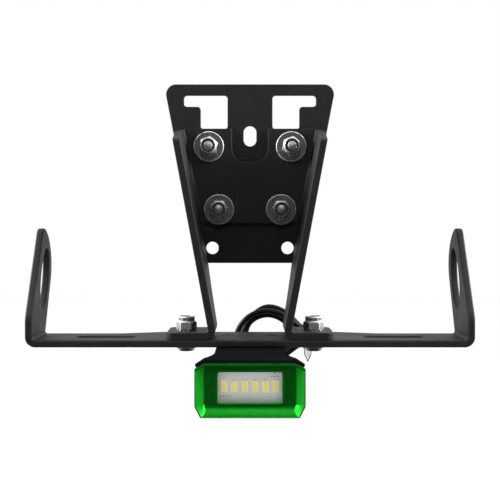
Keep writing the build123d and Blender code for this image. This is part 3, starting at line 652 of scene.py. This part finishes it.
def solder_joints():
    """Fillets of solder at both ends of every LED and chip on the board."""
    piece = bpy.data.objects.new("solder_joints", bpy.data.meshes.new("solder_joints"))
    collection.objects.link(piece)
    low, high = in_mm("led_chips")
    board = in_mm("led_board")[0][1]
    pitch = (high[0] - low[0] - LED_WIDTH) / (LED_COUNT - 1)
    first = low[0] + LED_WIDTH / 2
    for level in (low[2], high[2]):
        add_row(piece, solder, LED_COUNT, (first, board, level), (pitch, 0, 0), LED_JOINT)
    low, high = in_mm("board_components")
    top = high[2] - CHIP_HEIGHT / 2
    above_middle = high[0] - CHIP_WIDTH / 2 - (CHIPS_ABOVE - 1) * CHIP_PITCH / 2
    below_middle = low[0] + CHIP_WIDTH / 2 + (CHIPS_BELOW - 1) * CHIP_PITCH / 2
    rows = (
        (1, above_middle, top),
        (CHIPS_ABOVE, above_middle, top - LONE_CHIP_RISE),
        (CHIPS_BELOW, below_middle, low[2] + CHIP_HEIGHT / 2),
    )
    for count, middle, level in rows:
        left = middle - CHIP_WIDTH / 2 - (count - 1) * CHIP_PITCH / 2
        for end in (0, CHIP_WIDTH):
            add_row(piece, solder, count, (left + end, board, level), (CHIP_PITCH, 0, 0), CHIP_JOINT)
    plain_mesh(piece)
    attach(piece, "root")


# Pieces with rounded edges: node, name of the piece, edge width, material, slot
EASED = (
    ("mounting_plate", "coated_plate", SHEET_EDGE, powder_black, "black_coat"),
    ("arm_bracket", "coated_arm", ARM_EDGE, powder_black, "black_coat"),
    ("indicator_bar", "coated_bar", BAR_EDGE, powder_black, "black_coat"),
    ("lamp_bracket", "coated_lamp_sheet", LAMP_EDGE, sheet_black, "lamp_sheet_black"),
    ("lamp_housing", "anodised_shell", SHELL_EDGE, green_anodised, "green_anodised"),
    ("plate_washers", "pressed_washers", WASHER_EDGE, stainless, "stainless"),
    ("plate_nuts", "plate_lock_nuts", METAL_EDGE, stainless, "stainless"),
    ("foot_nuts", "foot_lock_nuts", METAL_EDGE, stainless, "stainless"),
    ("plate_bolts", "plate_button_bolts", METAL_EDGE, turned_steel, "stainless"),
    ("foot_bolts", "foot_button_bolts", METAL_EDGE, shade_darkened_steel, "stainless"),
    ("led_chips", "led_packages", SMALL_EDGE, package_white, "led_white"),
    ("board_components", "chip_resistors", SMALL_EDGE, chip_grey, "chip_grey"),
    ("lamp_back_plate", "moulded_back_plate", LAMP_EDGE, back_black, "back_black"),
    ("cable_grommet", "moulded_grommet", METAL_EDGE, rubber_black, "cable_black"),
    ("bullet_connectors", "moulded_bullets", METAL_EDGE, sleeve_black, "connector_black"),
    ("cable_tie", "nylon_tie", TIE_EDGE, tie_nylon, "tie_nylon"),
)

# Nodes shown as they are
PAINTED = (
    ("lamp_lens", clear_lens),
    ("led_board", board_coat),
    ("led_phosphor", glow_yellow),
    ("lamp_back_screws", black_oxide),
    ("lamp_bracket_screws", powder_black),
    ("lamp_bracket_nuts", black_oxide),
    ("lamp_screws", sheet_black),
    ("nut_nylon_rings", ring_nylon),
    ("cable_end_sleeve", sleeve_black),
)


# Floor: seen directly, FLOOR_SHARE of it is a white glow and the rest is matt grey
FLOOR_LEVEL = -260.0
FLOOR_SIZE = 6000.0
FLOOR_GREY = 0.8
FLOOR_SHARE = 0.88
FLOOR_GLOW = 1.06
# White surround: its strength seen directly, and as light on the object
SURROUND = 1.0
AMBIENT = 0.6
# Cards that only reflections see: name, width and depth, place, turn about X
UPRIGHT = -90.0
LYING = 0.0
BLACK_CARDS = (
    ("black_card", (3600.0, 1750.0), (0.0, -1250.0, 620.0), UPRIGHT),
    ("black_apron", (1600.0, 1350.0), (0.0, -575.0, -258.0), LYING),
)
WHITE_CARDS = (
    ("white_card", (200.0, 90.0), (-235.0, -1200.0, -175.0), UPRIGHT),
    ("white_card", (200.0, 90.0), (235.0, -1200.0, -175.0), UPRIGHT),
)
CARD_GLOW = 1.0
# A softbox on each side and a small lamp in front, all aimed at the object: name, place, size, power
SOFTBOXES = (
    ("left_softbox", (-1000.0, -30.0, 460.0), (600.0, 400.0), 22.0),
    ("right_softbox", (1000.0, -30.0, 460.0), (600.0, 400.0), 22.0),
    ("front_lamp", (0.0, -800.0, 480.0), (140.0, 140.0), 0.8),
)


def seen_directly(tree):
    """1 for rays from the camera, from glossy faces and through clear ones, 0 for the rest."""
    path = add(tree, "ShaderNodeLightPath")
    outputs = [path.outputs[name] for name in ("Is Camera Ray", "Is Glossy Ray", "Is Transmission Ray")]
    total = add(tree, "ShaderNodeMath", {"operation": "ADD"})
    tree.links.new(outputs[0], total.inputs[0])
    tree.links.new(outputs[1], total.inputs[1])
    capped = add(tree, "ShaderNodeMath", {"operation": "ADD", "use_clamp": True})
    tree.links.new(total.outputs[0], capped.inputs[0])
    tree.links.new(outputs[2], capped.inputs[1])
    return capped.outputs[0]


def white_surround():
    """White all round, seen at one strength and lighting the object at another."""
    world = bpy.data.worlds.new("white_surround")
    world.use_nodes = True
    bpy.context.scene.world = world
    tree = world.node_tree
    tree.nodes.clear()
    seen = add(tree, "ShaderNodeBackground", inputs={"Color": WHITE, "Strength": SURROUND})
    ambient = add(tree, "ShaderNodeBackground", inputs={"Color": WHITE, "Strength": AMBIENT})
    mix = add(tree, "ShaderNodeMixShader", inputs={"Fac": seen_directly(tree)})
    tree.links.new(ambient.outputs[0], mix.inputs[1])
    tree.links.new(seen.outputs[0], mix.inputs[2])
    out = add(tree, "ShaderNodeOutputWorld")
    tree.links.new(mix.outputs[0], out.inputs["Surface"])


def flat_sheet(name, width, depth):
    """A flat sheet that belongs to the surroundings, not to the object."""
    mesh = bpy.data.meshes.new(name)
    x, y = MM * width / 2, MM * depth / 2
    mesh.from_pydata([(-x, -y, 0), (x, -y, 0), (x, y, 0), (-x, y, 0)], [], [(0, 1, 2, 3)])
    sheet = bpy.data.objects.new(name, mesh)
    collection.objects.link(sheet)
    return sheet


def empty_material(name):
    """A new material with nothing in its node tree yet."""
    material = bpy.data.materials.new(name)
    material.use_nodes = True
    material.node_tree.nodes.clear()
    return material, material.node_tree


def pale_floor():
    """A floor that looks almost white and still takes a shadow."""
    floor = flat_sheet("pale_floor", FLOOR_SIZE, FLOOR_SIZE)
    floor.location = (0, 0, MM * FLOOR_LEVEL)
    material, tree = empty_material("pale_floor")
    matt = add(tree, "ShaderNodeBsdfDiffuse", inputs={"Color": (FLOOR_GREY, FLOOR_GREY, FLOOR_GREY, 1)})
    white = add(tree, "ShaderNodeEmission", inputs={"Color": WHITE, "Strength": FLOOR_GLOW})
    share = add(tree, "ShaderNodeMath", {"operation": "MULTIPLY"})
    tree.links.new(seen_directly(tree), share.inputs[0])
    share.inputs[1].default_value = FLOOR_SHARE
    mix = add(tree, "ShaderNodeMixShader", inputs={"Fac": share.outputs[0]})
    tree.links.new(matt.outputs[0], mix.inputs[1])
    tree.links.new(white.outputs[0], mix.inputs[2])
    out = add(tree, "ShaderNodeOutputMaterial")
    tree.links.new(mix.outputs[0], out.inputs["Surface"])
    paint(floor, material)


def set_up_cards(cards, material):
    """Cards that the camera doesn't see and that cast no shadow."""
    for name, size, place, turn in cards:
        card = flat_sheet(name, *size)
        card.location = metres(place)
        card.rotation_euler = (radians(turn), 0, 0)
        card.visible_camera = False
        card.visible_diffuse = False
        card.visible_shadow = False
        paint(card, material)


def black_cards():
    """Dark cards behind and below the viewer keep the faces that look at the viewer deep black."""
    black = sprayed("card_black", (12, 12, 12), (16, 16, 16), (16, 16, 16), (0.9, 1.0), (0.2, 0.0))
    set_up_cards(BLACK_CARDS, black)


def white_cards():
    """Small white cards in front, which brighten the foot nuts' front facets."""
    white, tree = empty_material("card_white")
    glow = add(tree, "ShaderNodeEmission", inputs={"Color": WHITE, "Strength": CARD_GLOW})
    out = add(tree, "ShaderNodeOutputMaterial")
    tree.links.new(glow.outputs[0], out.inputs["Surface"])
    set_up_cards(WHITE_CARDS, white)


def softboxes():
    """Lamps with a flat rectangular face, turned to the object."""
    for name, place, size, power in SOFTBOXES:
        data = bpy.data.lights.new(name, "AREA")
        data.shape = "RECTANGLE"
        data.size, data.size_y = metres(size)
        data.energy = power
        lamp = bpy.data.objects.new(name, data)
        lamp.location = metres(place)
        lamp.rotation_euler = (-lamp.location).to_track_quat("-Z", "Y").to_euler()
        collection.objects.link(lamp)


place_camera()
white_surround()
pale_floor()
black_cards()
white_cards()
softboxes()

tie_low, tie_high = in_mm("cable_tie")
tie_middle = (tie_low[0] + tie_high[0]) / 2
tie_ridges = (
    TIE_RIDGE_COUNT,
    (tie_middle, TIE_TAIL_BACK, tie_low[2] + TIE_TAIL_TOP),
    (0, 0, -TIE_RIDGE_PITCH),
    TIE_RIDGE,
)
rows = {"cable_tie": (tie_ridges,)}
made = {}
for node, name, edge, material, slot in EASED:
    made[node] = eased(node, name, edge, material, rows.get(node, ()))
    paint(made[node], material)
for node, material in PAINTED:
    paint(nodes[node], material)

solder_joints()

cable = lamp_cable()
paint(cable, rubber_black)
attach(cable, "root")
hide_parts("lamp_cable", "cable_coil", "cable_tail")

bpy.context.scene.view_settings.view_transform = "Standard"
